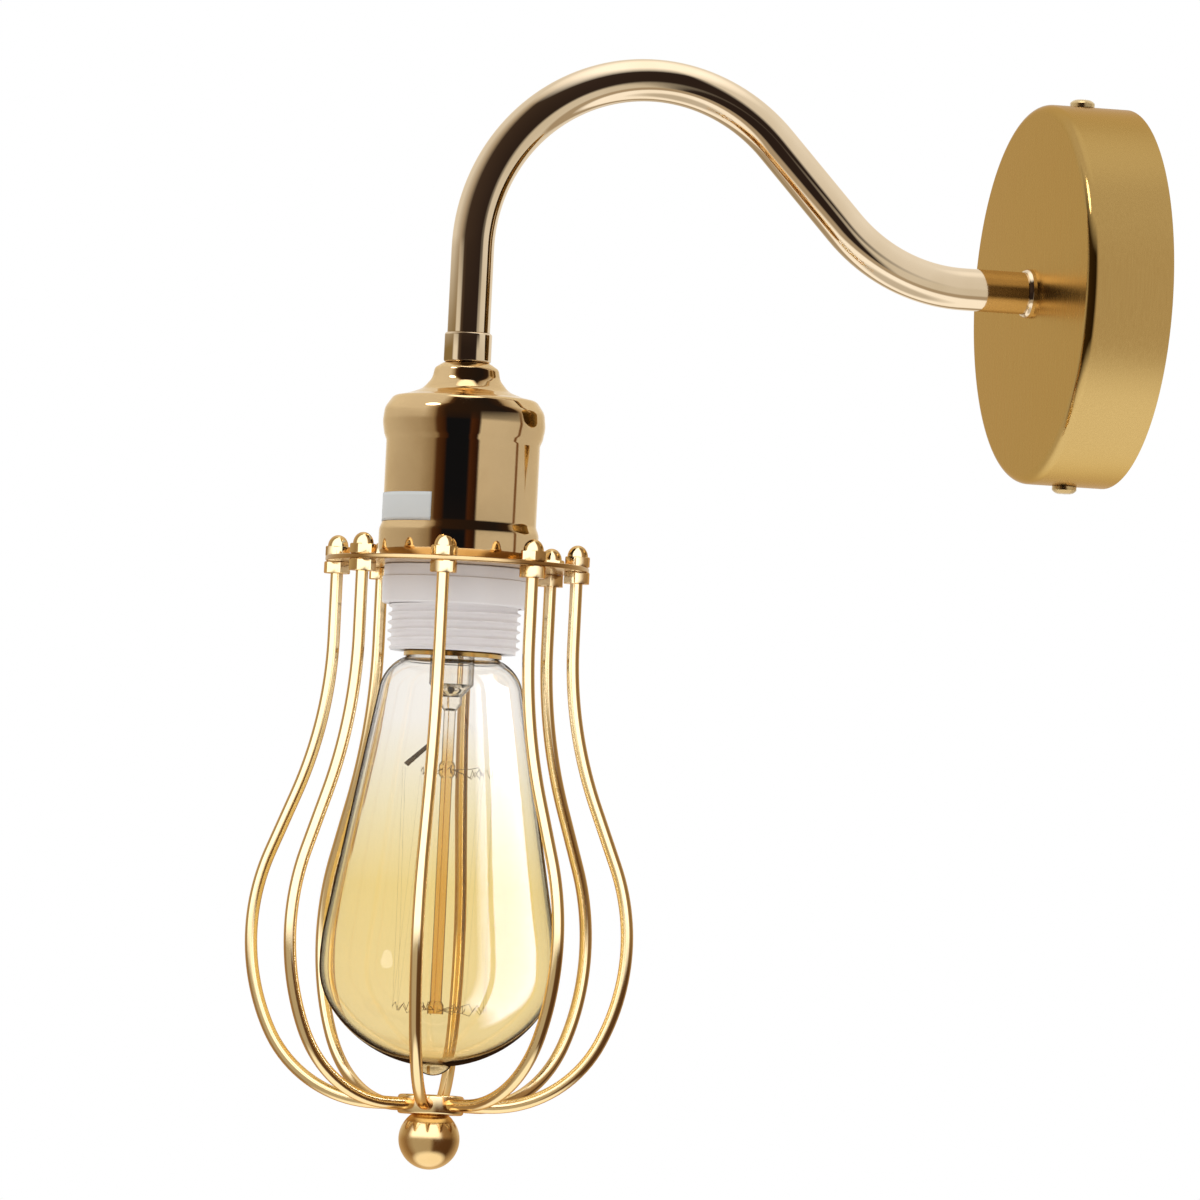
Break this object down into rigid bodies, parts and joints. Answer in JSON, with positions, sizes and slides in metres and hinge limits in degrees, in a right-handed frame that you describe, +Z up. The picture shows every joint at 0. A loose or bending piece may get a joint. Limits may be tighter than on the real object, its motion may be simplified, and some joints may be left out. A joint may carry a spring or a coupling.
{
  "type": "cage wall light",
  "caption": "Swan-neck wall light: round wall canopy, bent arm, screw lampholder with shade ring, open wire cage and a pear-shaped filament bulb.",
  "frame": {"origin": "centre of the canopy's back plane, on the wall", "axes": "+Z up, -Y out of the wall into the room, +X to the right as seen from the room; the lamp axis is vertical at x = 0, y = -190 mm"},
  "size_m": [0.108, 0.2408, 0.3162],
  "materials": {
    "canopy_brass": "satin brushed, lacquered",
    "arm_brass": "polished",
    "cover_brass": "polished",
    "cage_brass": "polished",
    "screw_brass": "polished",
    "contact_brass": "bright",
    "bulb_cap_metal": "bright",
    "bulb_contact_metal": "soldered",
    "zinc_steel": "zinc plated",
    "white_plastic": "moulded",
    "insert_moulding": "moulded",
    "terminal_plastic": "moulded",
    "lead_brown": "insulated",
    "lead_blue": "insulated",
    "lead_green": "insulated",
    "bulb_glass": "amber tint",
    "stem_glass": "clear",
    "bulb_insulator": "vitrified",
    "filament_metal": "dark"
  },
  "bodies": {
    "fixture": {"wall_bracket": "zinc_steel", "canopy": "canopy_brass", "side_screw_top": "screw_brass", "side_screw_bottom": "screw_brass", "earth_screw": "screw_brass", "terminal_block": "terminal_plastic", "terminal_screws": "zinc_steel", "arm_tube": "arm_brass", "arm_flange": "arm_brass", "arm_nipple": "zinc_steel", "arm_lock_washer": "zinc_steel", "arm_lock_nut": "zinc_steel", "live_lead": "lead_brown", "neutral_lead": "lead_blue", "earth_lead": "lead_green", "neck_collar": "arm_brass", "holder_nipple": "zinc_steel", "lampholder_cover": "cover_brass", "holder_cap": "white_plastic", "holder_skirt": "white_plastic", "holder_insert": "insert_moulding", "holder_terminal_screws": "contact_brass", "contact_tongue": "contact_brass", "threaded_shell": "contact_brass"},
    "cage": {"cage_plate": "cage_brass", "cage_wire_1": "cage_brass", "cage_wire_2": "cage_brass", "cage_wire_3": "cage_brass", "cage_wire_4": "cage_brass", "cage_wire_5": "cage_brass", "cage_wire_6": "cage_brass", "cage_wire_7": "cage_brass", "cage_wire_8": "cage_brass", "cage_cap_nuts": "cage_brass", "cage_lock_nuts": "cage_brass", "cage_hub": "cage_brass", "ball_finial": "cage_brass", "finial_stud": "zinc_steel"},
    "ring": {"shade_ring": "white_plastic"},
    "bulb_tip": {"bulb_contact": "bulb_contact_metal"},
    "bulb": {"bulb_glass": "bulb_glass", "bulb_cap": "bulb_cap_metal", "bulb_insulator": "bulb_insulator", "bulb_stem": "stem_glass", "bulb_upper_hooks": "filament_metal", "bulb_lower_hooks": "filament_metal", "bulb_filament": "filament_metal", "bulb_lead_wires": "filament_metal"}
  },
  "joints": [
    {"name": "cage_drop", "type": "slide", "parent": "fixture", "child": "cage", "axis": [0, 0, -1], "range_m": [0, 0.012]},
    {"name": "ring_turn", "type": "hinge", "parent": "cage", "child": "ring", "pos_m": [0, -0.19, -0.0925], "axis": [0, 0, -1], "range_deg": [0, 1800.5]},
    {"name": "bulb_drop", "type": "slide", "parent": "fixture", "child": "bulb_tip", "axis": [0, 0, -1], "range_m": [0, 0.00363]},
    {"name": "bulb_turn", "type": "hinge", "parent": "bulb_tip", "child": "bulb", "pos_m": [0, -0.19, -0.1], "axis": [0, 0, -1], "range_deg": [0, 360]}
  ],
  "couplings": [
    {"joint": "ring_turn", "follows": "cage_drop", "rad_per_m": 2618},
    {"joint": "bulb_turn", "follows": "bulb_drop", "rad_per_m": 1731.4}
  ]
}
